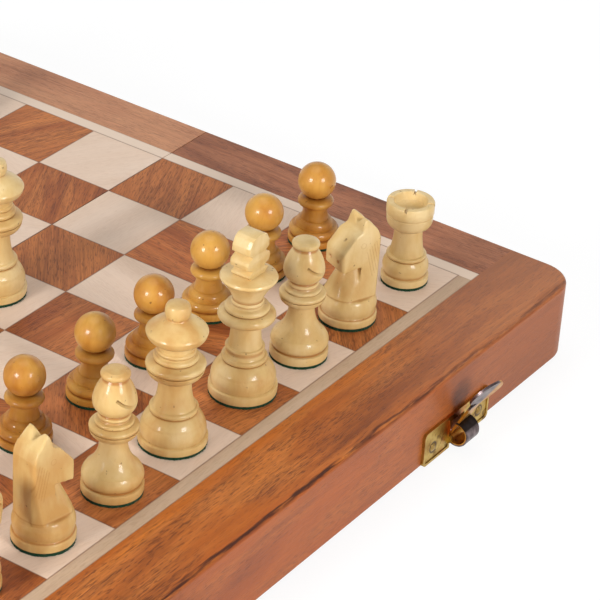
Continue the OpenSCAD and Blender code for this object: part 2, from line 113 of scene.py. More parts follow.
def worked(tree, operation, *values):
    """What one step of arithmetic gives on numbers and on other nodes' outputs."""
    return put(tree, "Math", dict(enumerate(values)), operation=operation).outputs[0]


def between(tree, value, low, high, to_low=0.0, to_high=1.0, curve="SMOOTHSTEP"):
    """A value carried from one range to another, and held at the ends of it."""
    return put(tree, "MapRange", {"Value": value, "From Min": low, "From Max": high, "To Min": to_low,
                                  "To Max": to_high}, interpolation_type=curve).outputs[0]


# The walls fade out between 26 and 38 degrees above the table, here as sines; the brightest one is
# behind the board as the camera sees it. The camera itself sees plain white in every direction.
wall_top = (0.44, 0.62)
wall_behind = (0.84, 0.54, 0)
ceiling = 0.22
world = bpy.data.worlds.new("studio")
world.use_nodes = True
bpy.context.scene.world = world
tree = world.node_tree
way = put(tree, "TexCoord").outputs["Generated"]
height = put(tree, "SeparateXYZ", {0: way}).outputs["Z"]
behind = put(tree, "VectorMath", {0: way, 1: wall_behind}, operation="DOT_PRODUCT").outputs["Value"]
wall = between(tree, height, *wall_top, 1.0, 0.0, curve="LINEAR")
bright = between(tree, behind, 0.1, 0.75, 0.15, 0.68, curve="LINEAR")
room = worked(tree, "MULTIPLY_ADD", wall, bright, ceiling)
path = put(tree, "LightPath").outputs
seen = worked(tree, "MAXIMUM", path["Is Camera Ray"], path["Is Transmission Ray"])
background = tree.nodes["Background"]
background.inputs["Color"].default_value = (1, 1, 1, 1)
tree.links.new(worked(tree, "MAXIMUM", room, seen), background.inputs["Strength"])

# ---- Table -------------------------------------------------------------------------------------
# A wide sheet of matt white paper, a hair under the hinge barrels that the open board stands on. The
# camera and the lacquer see most of it as a white glow, so that little but the shadow is left.


def new_finish(name, **uniform):
    """A new material with its node tree and shader; the uniform values go straight on the shader."""
    finish = bpy.data.materials.new(name)
    finish.use_nodes = True
    shader = finish.node_tree.nodes["Principled BSDF"]
    for key, value in uniform.items():
        shader.inputs[key.replace("_", " ")].default_value = value
    return finish, finish.node_tree, shader


table_gap = 0.00005
bpy.ops.object.select_all(action="DESELECT")
bpy.ops.mesh.primitive_plane_add(size=12, location=(0, 0, cad_box[0][2] - table_gap))
table = bpy.context.object
table.name = "table"
bpy.ops.object.transform_apply(location=True)
paper, tree, shader = new_finish("white_paper", Base_Color=(0.86, 0.86, 0.86, 1), Roughness=0.8)
path = put(tree, "LightPath").outputs
seen = worked(tree, "MAXIMUM", path["Is Camera Ray"], path["Is Glossy Ray"])
share = worked(tree, "MULTIPLY", seen, 0.8)
glow = put(tree, "Emission", {"Color": (1, 1, 1, 1), "Strength": 1.08})
mixed = put(tree, "MixShader", {0: share, 1: shader.outputs[0], 2: glow.outputs[0]})
tree.links.new(mixed.outputs[0], tree.nodes["Material Output"].inputs["Surface"])
table.data.materials.append(paper)

# ---- Side rails, far rail and fold walls -------------------------------------------------------
# Seven lengths of sheesham, planed, glued at butt joints and rounded over, with two coats of
# semi-gloss lacquer. Open pores run as short dark dashes along the grain.


def tone(red, green, blue):
    """A colour as the eye reads it, 0 to 255, for the shader."""
    def linear(c):
        c /= 255
        return c / 12.92 if c <= 0.04045 else ((c + 0.055) / 1.055) ** 2.4
    return (linear(red), linear(green), linear(blue), 1.0)


def plus(tree, first, second):
    return worked(tree, "ADD", first, second)


def minus(tree, first, second):
    return worked(tree, "SUBTRACT", first, second)


def times(tree, first, second):
    return worked(tree, "MULTIPLY", first, second)


def vector(tree, operation, *values):
    """What one step of arithmetic gives on coordinates."""
    return put(tree, "VectorMath", dict(enumerate(values)), operation=operation).outputs[0]


def object_place(tree):
    return put(tree, "TexCoord").outputs["Object"]


def spun(tree, where, angle):
    """Coordinates turned about Z, so that the grain runs another way."""
    return put(tree, "VectorRotate", {"Vector": where, "Angle": angle}, rotation_type="Z_AXIS").outputs[0]


def noise(tree, where, stretch, detail=2.0, distortion=0.0, roughness=0.5):
    """Noise on coordinates stretched by three numbers, in waves per metre."""
    return put(tree, "TexNoise", {"Vector": vector(tree, "MULTIPLY", where, stretch), "Scale": 1.0,
                                  "Detail": detail, "Distortion": distortion,
                                  "Roughness": roughness}).outputs["Fac"]


def waved(tree, where, reach, size):
    """Coordinates pushed about a little, so that the grain wavers."""
    scaled = vector(tree, "MULTIPLY", where, size)
    drift = put(tree, "TexNoise", {"Vector": scaled, "Scale": 1.0, "Detail": 1.0}).outputs["Color"]
    push = vector(tree, "MULTIPLY", vector(tree, "SUBTRACT", drift, (0.5, 0.5, 0.5)), (reach, reach, reach))
    return vector(tree, "ADD", where, push)


def shades(tree, value, *stops):
    """A run of colours along a value: each stop is its place and its colour."""
    ramp = put(tree, "ValToRGB", {0: value})
    while len(ramp.color_ramp.elements) < len(stops):
        ramp.color_ramp.elements.new(1.0)
    for element, (place, colour) in zip(ramp.color_ramp.elements, stops):
        element.position = place
        element.color = colour
    return ramp.outputs["Color"]


def blended(tree, amount, first, second, way="MIX"):
    return put(tree, "Mix", {0: amount, 6: first, 7: second}, data_type="RGBA", blend_type=way).outputs[2]


def grey(tree, level):
    return put(tree, "CombineColor", {0: level, 1: level, 2: level}).outputs[0]


def emboss(tree, shader, height, strength, distance):
    relief = put(tree, "Bump", {"Height": height, "Strength": strength, "Distance": distance})
    tree.links.new(relief.outputs[0], shader.inputs["Normal"])


def paint(tree, shader, colour):
    tree.links.new(colour, shader.inputs["Base Color"])


def grained(tree, shader, where, palette, figure, pores, fibre, bump):
    """Wood with its grain along X of the coordinates: broad bands, dark figure, fibres and pores."""
    calm = waved(tree, where, 0.006, (9, 30, 30))
    bands = noise(tree, calm, (14, 75, 75), detail=5, distortion=0.6, roughness=0.55)
    colour = shades(tree, bands, *palette)
    lines = noise(tree, calm, (10, 380, 380), detail=4, distortion=0.8, roughness=0.65)
    lines = between(tree, lines, 0.50, 0.32)
    figure_share, figure_colour = figure
    colour = blended(tree, times(tree, lines, figure_share), colour, figure_colour)
    fine = noise(tree, calm, (80, 1500, 1500), detail=3, roughness=0.7)
    level = between(tree, fine, 0.32, 0.68, 1 - fibre, 1 + fibre)
    colour = blended(tree, 1.0, colour, grey(tree, level), "MULTIPLY")
    dashes = noise(tree, calm, (320, 2900, 2900), detail=1.5)
    crowd = noise(tree, calm, (20, 120, 120))
    spots = between(tree, plus(tree, dashes, times(tree, crowd, 0.3)), 0.69, 0.78)
    pore_share, pore_colour = pores
    colour = blended(tree, times(tree, spots, pore_share), colour, pore_colour)
    emboss(tree, shader, plus(tree, fine, times(tree, spots, -1.4)), bump, 0.0001)
    return colour


def rail_finish(name, turned, seed, palette, grain=1.0):
    """Lacquered sheesham, and its tree, shader, place and colour for what one rail has of its own."""
    finish, tree, shader = new_finish(name, Roughness=0.5, Specular_IOR_Level=0.3, Coat_Weight=0.14,
                                      Coat_Roughness=0.22)
    place = object_place(tree)
    where = vector(tree, "ADD", place, (seed, seed * 0.7, seed * 0.3))
    if turned:
        where = spun(tree, where, math.radians(90))
    colour = grained(tree, shader, where, palette, (0.45 * grain, tone(112, 58, 34)),
                     (0.55 * grain, tone(78, 38, 24)), 0.17 * grain, 0.35)
    paint(tree, shader, colour)
    return finish, tree, shader, place, colour


def dress(finish, *nodes):
    """The finish goes on the pieces' own material slots; their meshes are left as they are."""
    for node in nodes:
        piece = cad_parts[node]
        for index in range(len(piece.material_slots)):
            piece.material_slots[index].link = "DATA"
        piece.data.materials.clear()
        piece.data.materials.append(finish)


red_palette = ((0.30, tone(136, 70, 28)), (0.43, tone(168, 92, 38)), (0.53, tone(186, 110, 50)),
               (0.63, tone(194, 110, 38)), (0.78, tone(158, 84, 34)))
pink_palette = ((0.30, tone(134, 80, 54)), (0.45, tone(158, 98, 66)), (0.56, tone(174, 112, 78)),
                (0.72, tone(152, 92, 60)))
# painted sheen: the far side rails are made paler, with fainter grain, for the sheen they reflect at a
# grazing angle
painted_sheen_palette = ((0.30, tone(172, 112, 78)), (0.45, tone(190, 130, 94)), (0.56, tone(198, 140, 102)),
                (0.72, tone(182, 120, 86)))
dress(rail_finish("far_rail_sheesham", False, 1.7, red_palette)[0], "far_rail")
dress(rail_finish("near_side_sheesham", True, 3.1, pink_palette, grain=0.75)[0], "near_side_rails")
dress(rail_finish("far_side_sheesham_painted_sheen", True, 5.3, painted_sheen_palette, grain=0.45)[0], "far_side_rails")
dress(rail_finish("near_spine_sheesham", False, 7.9, red_palette)[0], "near_spine")
dress(rail_finish("far_spine_sheesham", False, 9.2, red_palette)[0], "far_spine")

# ---- Near rail ---------------------------------------------------------------------------------
# One length of the same wood, orange at the left and a cooler brown at the right. Dark heartwood
# breaks out in strands along its arris, edged with orange, and the lacquer is thin on the arris.
# Its near face is darkened by painted shade, and further towards the right corner.
near_rail_wood, tree, shader, place, colour = rail_finish("near_rail_sheesham", False, 0.0, red_palette)
low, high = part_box("near_rail")
x, y, z = put(tree, "SeparateXYZ", {0: place}).outputs
down = minus(tree, high.z, z)
inward = minus(tree, y, low.y)

patches = between(tree, noise(tree, place, (24, 90, 90), detail=3), 0.46, 0.60, 0.0, 0.55)
patches = times(tree, patches, between(tree, x, 0.0, 0.09, 1.0, 0.0))
colour = blended(tree, patches, colour, tone(184, 96, 26))
colour = blended(tree, between(tree, x, 0.0, 0.15, 0.0, 0.6), colour, tone(170, 114, 82))
# painted shade: the near face is made darker and browner than the top
painted_face_shade = between(tree, y, low.y + 0.0006, low.y + 0.0002)
colour = blended(tree, times(tree, painted_face_shade, 0.4), colour, tone(156, 92, 58))
colour = blended(tree, painted_face_shade, colour, (0.90, 0.76, 0.55, 1), "MULTIPLY")
# painted shade: the face from a little under the arris down is darkened further towards the right corner
painted_corner_shade = times(tree, between(tree, x, 0.04, 0.13), between(tree, down, 0.0008, 0.0020))
colour = blended(tree, painted_corner_shade, colour, (0.85, 0.78, 0.66, 1), "MULTIPLY")

# A place across the arris is counted from the edge, more down the face and less over the top, with
# something ragged added. A strand is given by its start along the rail, how far it wanders, its half
# width, its strength and its stain, and it is broken along its length.
ragged = times(tree, noise(tree, place, (160, 1600, 1600), detail=3), 0.0016)
over_arris = plus(tree, minus(tree, down, inward), ragged)
for seed, reach, wide, share, stain in ((0.0, 0.0080, 0.0034, 0.5, tone(170, 82, 28)),
                                        (0.0, 0.0080, 0.0012, 0.95, tone(58, 22, 10)),
                                        (0.6, 0.0110, 0.0008, 0.85, tone(78, 32, 14)),
                                        (1.3, 0.0050, 0.0007, 0.8, tone(70, 28, 14))):
    moved = vector(tree, "ADD", place, (seed, 0, 0))
    drift = noise(tree, moved, (11, 0, 0), detail=4, roughness=0.6)
    level = plus(tree, times(tree, drift, -reach), reach * 0.36 + 0.0008)
    off = worked(tree, "ABSOLUTE", minus(tree, over_arris, level))
    broken = between(tree, noise(tree, moved, (34, 300, 300), detail=5, roughness=0.65), 0.42, 0.58)
    strand = times(tree, between(tree, off, wide, wide * 0.2), broken)
    fading = between(tree, x, 0.03, 0.10, share, share * 0.45)
    colour = blended(tree, times(tree, strand, fading), colour, stain)
from_edge = worked(tree, "ABSOLUTE", minus(tree, over_arris, 0.0008))
patchy = between(tree, noise(tree, place, (45, 400, 400), detail=3), 0.40, 0.60)
thin = times(tree, between(tree, from_edge, 0.0008, 0.0002), patchy)
colour = blended(tree, times(tree, thin, 0.6), colour, tone(124, 60, 26))
paint(tree, shader, colour)
dress(near_rail_wood, "near_rail")

# ---- Panels ------------------------------------------------------------------------------------
# A sheet of birch plywood in each half, held in the rails' grooves; its edge shows the layers.
# The squares are glued on top of it.
birch_ply, tree, shader = new_finish("birch_plywood", Roughness=0.6)
place = object_place(tree)
colour = grained(tree, shader, place, ((0.3, tone(202, 172, 128)), (0.7, tone(218, 192, 150))),
                 (0.2, tone(168, 132, 90)), (0.3, tone(150, 112, 76)), 0.05, 0.4)
layer_t = 0.00085
layers = worked(tree, "PINGPONG", put(tree, "SeparateXYZ", {0: place}).outputs["Z"], layer_t)
colour = blended(tree, between(tree, layers, 0.0003, 0.0006, 0.0, 0.4), colour, tone(150, 108, 68))
paint(tree, shader, colour)
dress(birch_ply, "near_panel", "far_panel")

# ---- Squares -----------------------------------------------------------------------------------
# 3 mm tiles of sheesham and pale maple, each cut from another place and laid with its grain another
# way. A hairline of dark glue shows round each one.
cell = 0.03
board_half = 4 * cell


def tile_place(tree, tilt):
    """Coordinates that start again at random on each square, turned too, and the square's own chance."""
    place = object_place(tree)
    number = vector(tree, "FLOOR", vector(tree, "MULTIPLY", place, (1 / cell, 1 / cell, 0)))
    chance = put(tree, "TexWhiteNoise", {"Vector": number}, noise_dimensions="3D").outputs
    moved = vector(tree, "ADD", place, vector(tree, "MULTIPLY", chance["Color"], (7, 7, 7)))
    where = spun(tree, moved, between(tree, chance["Value"], 0.0, 1.0, *tilt))
    return place, where, chance["Value"]


def tile_finish(name, palette, tilt, figure, pores, fibre, gloss, spread):
    """Lacquered tiles: the tilt is the range of their grain, the spread how far they differ in level."""
    finish, tree, shader = new_finish(name, Roughness=gloss, Specular_IOR_Level=0.3, Coat_Weight=0.12,
                                      Coat_Roughness=0.25)
    place, where, chance = tile_place(tree, tilt)
    colour = grained(tree, shader, where, palette, figure, pores, fibre, 0.3)
    level = between(tree, chance, 0.0, 1.0, 1 - spread, 1 + spread)
    colour = blended(tree, 1.0, colour, grey(tree, level), "MULTIPLY")
    axes = put(tree, "SeparateXYZ", {0: place}).outputs
    from_joint = worked(tree, "MINIMUM", worked(tree, "PINGPONG", axes["X"], cell / 2),
                        worked(tree, "PINGPONG", axes["Y"], cell / 2))
    glue = between(tree, from_joint, 0.0004, 0.00008, 0.0, 0.6)
    paint(tree, shader, blended(tree, glue, colour, tone(120, 78, 56)))
    return finish


dark_tile = tile_finish(
    "dark_square_sheesham",
    ((0.28, tone(136, 68, 32)), (0.42, tone(170, 95, 46)), (0.54, tone(190, 114, 59)),
     (0.66, tone(200, 122, 62)), (0.80, tone(164, 94, 48))),
    (-0.7, 1.9), (0.45, tone(116, 58, 30)), (0.5, tone(88, 42, 24)), 0.16, 0.5, 0.10)
light_tile = tile_finish(
    "light_square_maple",
    ((0.25, tone(224, 196, 172)), (0.5, tone(230, 204, 182)), (0.75, tone(233, 209, 188))),
    (-0.3, 1.9), (0.05, tone(202, 162, 130)), (0.12, tone(184, 140, 106)), 0.02, 0.55, 0.02)
dress(dark_tile, "near_dark_squares", "far_dark_squares")
dress(light_tile, "near_light_squares", "far_light_squares")

# ---- Strips ------------------------------------------------------------------------------------
# A frame of 5 mm maple strips glued round the squares, with the grain along each and a line of dark
# glue on both sides of it; the strips at the sides are painted paler than those at the ends, for
# the sheen they reflect.
strip_w = 0.005
strip_maple, tree, shader = new_finish("strip_maple", Roughness=0.55, Specular_IOR_Level=0.35,
                                       Coat_Weight=0.15, Coat_Roughness=0.25)
place = object_place(tree)
axes = put(tree, "SeparateXYZ", {0: place}).outputs
wide = worked(tree, "ABSOLUTE", axes["X"])
deep = worked(tree, "ABSOLUTE", axes["Y"])
quarter_turn = between(tree, wide, board_half, board_half + 0.00004, 0.0, math.radians(90))
colour = grained(tree, shader, spun(tree, place, quarter_turn),
                 ((0.25, tone(188, 158, 130)), (0.5, tone(197, 169, 141)), (0.75, tone(204, 178, 152))),
                 (0.12, tone(174, 140, 110)), (0.2, tone(158, 122, 92)), 0.04, 0.3)
# painted sheen: the side strips are made paler
colour = blended(tree, times(tree, quarter_turn, 0.5), colour, tone(238, 216, 196))
from_middle = minus(tree, worked(tree, "MAXIMUM", wide, deep), board_half + strip_w / 2)
from_middle = worked(tree, "ABSOLUTE", from_middle)
glue = between(tree, from_middle, strip_w / 2 - 0.0004, strip_w / 2 - 0.00012, 0.0, 0.55)
paint(tree, shader, blended(tree, glue, colour, tone(124, 80, 56)))
dress(strip_maple, "near_strips", "far_strips")

# ---- Linings -----------------------------------------------------------------------------------
# A sheet of green felt glued under each panel, where the men lie when the box is shut. The discs
# under the men are cut from the same felt.
green_felt, tree, shader = new_finish("green_felt", Roughness=0.95, Specular_IOR_Level=0.1,
                                      Sheen_Weight=0.1, Sheen_Roughness=0.5)
place = object_place(tree)
pile = waved(tree, place, 0.0008, (900, 900, 900))
pile = noise(tree, pile, (2600, 2600, 2600), detail=4, roughness=0.75)
colour = shades(tree, pile, (0.3, tone(8, 36, 24)), (0.55, tone(20, 62, 40)), (0.8, tone(48, 98, 64)))
worn = between(tree, noise(tree, place, (50, 50, 50), detail=3), 0.4, 0.75, 0.0, 0.3)
paint(tree, shader, blended(tree, worn, colour, tone(34, 80, 52)))
emboss(tree, shader, pile, 0.8, 0.0004)
dress(green_felt, "near_lining", "far_lining")

# ---- Hinges, nails and screws ------------------------------------------------------------------
# Two butt hinges of rolled sheet brass, let into the rims beside the fold, and the round-headed
# nails and slotted screws that hold all the brass. Handling has left them dull in patches.


def brass_finish(name, bright, deep, stain, roughness, amount):
    """Brass with the tree, shader, place and colour for what one piece has of its own."""
    finish, tree, shader = new_finish(name, Metallic=1.0)
    place = object_place(tree)
    clouds = noise(tree, place, (230, 230, 230), detail=5, roughness=0.65)
    colour = shades(tree, clouds, (0.3, deep), (0.55, bright), (0.8, bright))
    spots = between(tree, noise(tree, place, (420, 420, 420), detail=4), 0.55, 0.68, 0.0, amount)
    colour = blended(tree, spots, colour, stain)
    paint(tree, shader, colour)
    rough = between(tree, clouds, 0.3, 0.8, roughness + 0.12, roughness)
    tree.links.new(plus(tree, rough, times(tree, spots, 0.2)), shader.inputs["Roughness"])
    emboss(tree, shader, noise(tree, place, (90, 2200, 2200), detail=2), 0.25, 0.00005)
    return finish, tree, shader, place, colour


hinge_brass = brass_finish("hinge_brass", tone(218, 186, 104), tone(186, 146, 66), tone(120, 86, 40),
                           0.24, 0.4)[0]
nail_brass = brass_finish("nail_brass", tone(176, 146, 88), tone(128, 98, 52), tone(76, 52, 30),
                          0.3, 0.6)[0]
dress(hinge_brass, "hinge_leaves_near", "hinge_leaves_far", "hinge_pins")
dress(nail_brass, "hinge_screws_near", "hinge_screws_far", "clasp_nails", "keeper_nails")

# ---- Clasp plates and keepers ------------------------------------------------------------------
# Pressed plates with a slot, nailed on the near and the far face at the quarter points. The brass
# has gone orange beside the slot, and a dark ring of painted shade is put round each nail.
clasp_x = 0.0723
nail_off = 0.0133
nail_z = 0.005


def reach_of(tree, first, second):
    """How far a point lies from a middle, from its two distances to it."""
    flat = put(tree, "CombineXYZ", {0: first, 1: second}).outputs[0]
    return put(tree, "VectorMath", {0: flat}, operation="LENGTH").outputs["Value"]


plate_brass, tree, shader, place, colour = brass_finish(
    "plate_brass", tone(196, 164, 84), tone(150, 108, 38), tone(92, 56, 24), 0.28, 0.7)
axes = put(tree, "SeparateXYZ", {0: place}).outputs
across = worked(tree, "ABSOLUTE", minus(tree, worked(tree, "ABSOLUTE", axes["X"]), clasp_x))
from_nail = reach_of(tree, minus(tree, across, nail_off), minus(tree, axes["Z"], nail_z))
clouds = noise(tree, place, (260, 260, 260), detail=4)
heated = times(tree, between(tree, across, 0.0105, 0.0055), between(tree, clouds, 0.38, 0.62))
colour = blended(tree, times(tree, heated, 0.85), colour, tone(176, 92, 24))
# painted shade: a dark ring round each nail
colour = blended(tree, between(tree, from_nail, 0.0024, 0.0017, 0.0, 0.9), colour, tone(60, 38, 20))
paint(tree, shader, colour)
dress(plate_brass, "clasp_plates", "keeper_plates")

# ---- Clasp flaps -------------------------------------------------------------------------------
# A strip of spring brass, curled round the plate's pin and rolled into the catch. The roll is grey,
# with a dark painted reflection as a band along its top; the tab is painted grey as a reflection,
# all but one side, which stays golden for the brown wood it reflects.
roll_y, roll_z = -0.1533, 0.0054
flap_brass, tree, shader, place, colour = brass_finish(
    "flap_brass", tone(204, 150, 66), tone(176, 104, 28), tone(110, 60, 20), 0.3, 0.5)
x, y, z = put(tree, "SeparateXYZ", {0: place}).outputs
from_roll = reach_of(tree, minus(tree, y, roll_y), minus(tree, z, roll_z))
roll = times(tree, between(tree, from_roll, 0.0036, 0.0038), between(tree, from_roll, 0.0046, 0.0044))
aside = minus(tree, worked(tree, "ABSOLUTE", x), clasp_x)
tab = times(tree, between(tree, z, 0.0150, 0.0165), between(tree, aside, 0.0022, 0.0010))
mottled = noise(tree, place, (500, 500, 500), detail=4)
grey_and_painted_reflection = shades(tree, mottled, (0.35, tone(90, 78, 78)), (0.65, tone(134, 118, 118)))
# painted reflection: the tab is made grey but for one golden side; the roll is grey
colour = blended(tree, worked(tree, "MAXIMUM", roll, tab), colour, grey_and_painted_reflection)
# painted reflection: a dark band along the top of the roll
painted_dark_reflection = times(tree, roll, between(tree, z, roll_z + 0.0022, roll_z + 0.0026))
colour = blended(tree, times(tree, painted_dark_reflection, 0.85), colour, tone(38, 28, 22))
paint(tree, shader, colour)
dress(flap_brass, "clasp_flap_left", "clasp_flap_right")

# ---- Pawns -------------------------------------------------------------------------------------
# Turned from one stick of boxwood: a foot, a bell, a neck, a collar and a ball. An outline is a run
# of radii and heights in millimetres, and starts above the felt that goes under the foot.
mm = 0.001
felt_t = 0.8
sides = 72


def bead(r, z, half):
    """A half-round ring whose widest radius is r."""
    return [(r - half + half * math.cos(math.radians(a)), z + half * math.sin(math.radians(a)))
            for a in (-90, -67.5, -45, -22.5, 0, 22.5, 45, 67.5, 90)]


def bowed(start, end, bow):
    """A run between two points that swells out by the bow, or is hollowed by it."""
    run_r, run_z = end[0] - start[0], end[1] - start[1]
    length = math.hypot(run_r, run_z)
    return [(start[0] + run_r * t + run_z / length * bow * 4 * t * (1 - t),
             start[1] + run_z * t - run_r / length * bow * 4 * t * (1 - t))
            for t in (i / 8 for i in range(9))]


def foot(r, top):
    """The upright rim that a man stands on, with its edges eased and a groove over it."""
    return [(r - 0.5, felt_t), (r - 0.12, felt_t + 0.15), (r, felt_t + 0.5), (r, top - 0.5),
            (r - 0.12, top - 0.15), (r - 0.5, top), (r - 0.9, top + 0.05), (r - 0.9, top + 0.25)]


def mark_hollows(man, outline):
    """Where the outline runs in between two wider places, dust and painted shade go: the mesh keeps how
    deep it is.
    """
    reach, full = 1.6, 0.8
    depth = man.data.attributes.new("hollow", "FLOAT", "POINT")
    for point, value in zip(man.data.vertices, depth.data):
        r, z = math.hypot(point.co.x, point.co.y) / mm, point.co.z / mm
        if r < outline[-1][0] - 0.01:
            continue
        below = max([p[0] for p in outline if z - reach <= p[1] <= z] or [r])
        above = max([p[0] for p in outline if z <= p[1] <= z + reach] or [r])
        value.value = max(0.0, min(1.0, (min(below, above) - r) / full))


def turned_man(name, outline):
    """A disc is drawn up and swelled or pinched through the outline, as a lathe would leave it."""
    last_r, last_z = outline[0]
    bpy.ops.object.select_all(action="DESELECT")
    bpy.ops.mesh.primitive_circle_add(vertices=sides, radius=last_r * mm, fill_type="NGON",
                                      location=(0, 0, last_z * mm))
    man = bpy.context.object
    man.name = name
    bpy.ops.object.transform_apply(location=True)
    bpy.ops.object.mode_set(mode="EDIT")
    bpy.ops.mesh.select_all(action="SELECT")
    for r, z in outline[1:]:
        bpy.ops.mesh.extrude_region_move(TRANSFORM_OT_translate={"value": (0, 0, (z - last_z) * mm)})
        bpy.ops.transform.resize(value=(r / last_r, r / last_r, 1), center_override=(0, 0, z * mm))
        last_r, last_z = r, z
    bpy.ops.mesh.inset(thickness=last_r * mm * 0.6)
    bpy.ops.mesh.select_all(action="SELECT")
    bpy.ops.mesh.normals_make_consistent(inside=False)
    bpy.ops.object.mode_set(mode="OBJECT")
    mark_hollows(man, outline)
    return man


ball_r = 6.2
ball_z = 28.4 - ball_r
pawn = turned_man(
    "pawn_pattern",
    foot(8.4, 3.1) + bowed((7.5, 3.4), (7.3, 6.2), 0.75) + [(6.3, 6.3), (6.3, 6.8)]
    + bowed((6.2, 6.9), (5.0, 8.8), 0.3) + [(4.6, 8.9)] + bowed((4.6, 9.1), (4.2, 13.4), -0.35)
    + [(4.6, 13.7)] + bead(5.9, 15, 1.25)
    + [(ball_r * math.cos(math.radians(a)), ball_z + ball_r * math.sin(math.radians(a)))
       for a in range(-68, 88, 6)])

# ---- Rooks -------------------------------------------------------------------------------------
# A tower with a turned bowl in its top and a flared head; four shallow saw cuts are made across the
# rim of the bowl after the turning.
rook = turned_man(
    "rook_pattern",
    foot(7.7, 3.3) + bowed((6.8, 3.6), (6.3, 9.1), 0.9) + [(5.9, 9.2)] + bead(6.5, 10, 0.7)
    + bowed((5.6, 10.7), (4.6, 19.8), -0.35) + [(5.2, 20.0)] + bowed((5.3, 20.1), (7.4, 22.6), 0.5)
    + [(7.5, 24.5), (7.2, 24.8), (7.2, 25.0), (7.6, 25.2), (7.7, 25.5), (7.7, 28.8), (7.45, 29.2),
       (7.1, 29.3), (5.8, 29.3), (5.5, 29.1), (5.1, 26.6), (4.4, 26.2)])
# the bowl has no dust or painted shade in it
bowl_r, bowl_floor = 5.9, 25.6
for point, value in zip(rook.data.vertices, rook.data.attributes["hollow"].data):
    if point.co.z > bowl_floor * mm and math.hypot(point.co.x, point.co.y) < bowl_r * mm:
        value.value = 0.0


def only(piece):
    """Selects one piece alone and makes it the active one."""
    bpy.ops.object.select_all(action="DESELECT")
    bpy.context.view_layer.objects.active = piece
    piece.select_set(True)


def cut_away(man, cutter):
    """Takes the cutter's shape out of the man, and removes the cutter."""
    joint = man.modifiers.new("cut", "BOOLEAN")
    joint.object = cutter
    joint.operation = "DIFFERENCE"
    only(man)
    bpy.ops.object.modifier_apply(modifier="cut")
    bpy.data.objects.remove(cutter)


def saw_block(low, high, angle, axis, at=(0, 0, 0)):
    """A block between two corners in millimetres, turned about an axis and then set in its place."""
    bpy.ops.object.select_all(action="DESELECT")
    bpy.ops.mesh.primitive_cube_add(size=1)
    block = bpy.context.object
    low, high = Vector(low) * mm, Vector(high) * mm
    block.data.transform(Matrix.Translation((low + high) / 2) @ Matrix.Diagonal((*(high - low), 1)))
    block.data.transform(Matrix.Rotation(math.radians(angle), 4, axis))
    block.data.transform(Matrix.Translation(Vector(at) * mm))
    return block


for angle in (20, 110, 200, 290):
    cut_away(rook, saw_block((4.8, -0.45, 28.4), (8.5, 0.45, 30.5), angle, "Z"))

# ---- Bishops -----------------------------------------------------------------------------------
# A tall skirt, three collars and an egg-shaped mitre with a small button on it; one slanting saw cut
# is made in the side of the mitre.
bishop = turned_man(
    "bishop_pattern",
    foot(9.1, 3.7) + bowed((8.2, 4.0), (8.2, 8.2), 0.8) + bowed((8.2, 8.3), (4.0, 18.4), -1.3)
    + [(4.2, 18.9), (5.2, 19.2)] + bowed((5.3, 19.3), (7.1, 21.6), 0.5) + bead(7.2, 22.4, 0.8)
    + [(5.9, 23.4)] + bead(5.7, 24.1, 0.6) + [(4.4, 24.8), (4.2, 25.2)] + bead(4.7, 26, 0.6) + [(4.0, 26.8)]
    + bowed((4.1, 27.1), (6.35, 31.2), 0.75) + bowed((6.35, 31.3), (3.5, 38.0), 0.5)
    + [(3.4, 38.3)] + bead(4.3, 39.4, 1.0) + [(3.0, 40.65), (1.6, 40.8)])
cut_away(bishop, saw_block((0, -9, -0.4), (9, 9, 0.4), 40, "Y", (2.6, 0, 33.8)))

# ---- Queens ------------------------------------------------------------------------------------
# A skirt, a thick collar over a smaller one, and a wide saucer of a crown that closes in a cone with
# a barrel on top. All of it is turned in one piece, the spare queen too.
queen = turned_man(
    "queen_pattern",
    foot(10.4, 3.2) + bowed((9.5, 3.5), (9.0, 8.2), 0.5) + bowed((9.0, 8.3), (7.0, 10.9), 0.2)
    + [(6.6, 11.1)] + bead(7.3, 12.1, 0.9) + [(6.2, 13.2)] + bowed((6.1, 13.4), (5.0, 22.3), -0.5)
    + [(5.4, 22.7)] + bowed((5.5, 22.8), (8.6, 25.9), 0.8) + bead(8.85, 27, 1.1) + [(6.9, 28.5)]
    + bead(6.7, 29.6, 0.9) + [(5.5, 30.8)] + bead(5.8, 31.6, 0.6) + [(5.0, 32.4), (5.0, 33.8), (5.8, 34.6)]
    + bowed((6.8, 35.0), (9.0, 37.6), 0.45) + [(9.1, 38.1), (8.9, 38.6)]
    + bowed((8.6, 38.9), (3.5, 42.2), 0.35) + [(3.3, 42.5)] + bowed((3.5, 42.8), (3.6, 46.0), 0.25)
    + [(3.3, 46.6), (2.6, 46.9), (1.2, 47.0)])

# ---- Kings -------------------------------------------------------------------------------------
# A body turned up to a flared crown with a flat top, and a cross sawn from a square stick, notched
# from both sides into lobes, eased along its edges and glued into the crown.
king = turned_man(
    "king_pattern",
    foot(10.5, 3.8) + bowed((9.6, 4.1), (9.2, 8.8), 0.5) + bowed((9.2, 8.9), (6.8, 11.8), 0.2)
    + [(6.4, 11.9)] + bead(7.0, 12.9, 0.9) + [(6.0, 13.9)] + bowed((5.9, 14.2), (5.5, 15.8), -0.1)
    + bead(6.0, 16.4, 0.5) + [(5.2, 17.0)] + bowed((5.1, 17.2), (4.6, 25.2), -0.2) + [(5.6, 25.7)]
    + bead(8.75, 27.4, 1.5) + [(7.0, 29.0)] + bead(6.8, 30.0, 0.9) + [(5.0, 31.0)] + bead(5.0, 32.2, 0.6)
    + [(4.5, 33.0)] + bowed((4.6, 33.5), (8.3, 39.6), -0.25)
    + [(8.65, 40.0), (8.7, 40.4), (8.4, 40.9), (7.8, 41.1), (4.0, 41.5)])

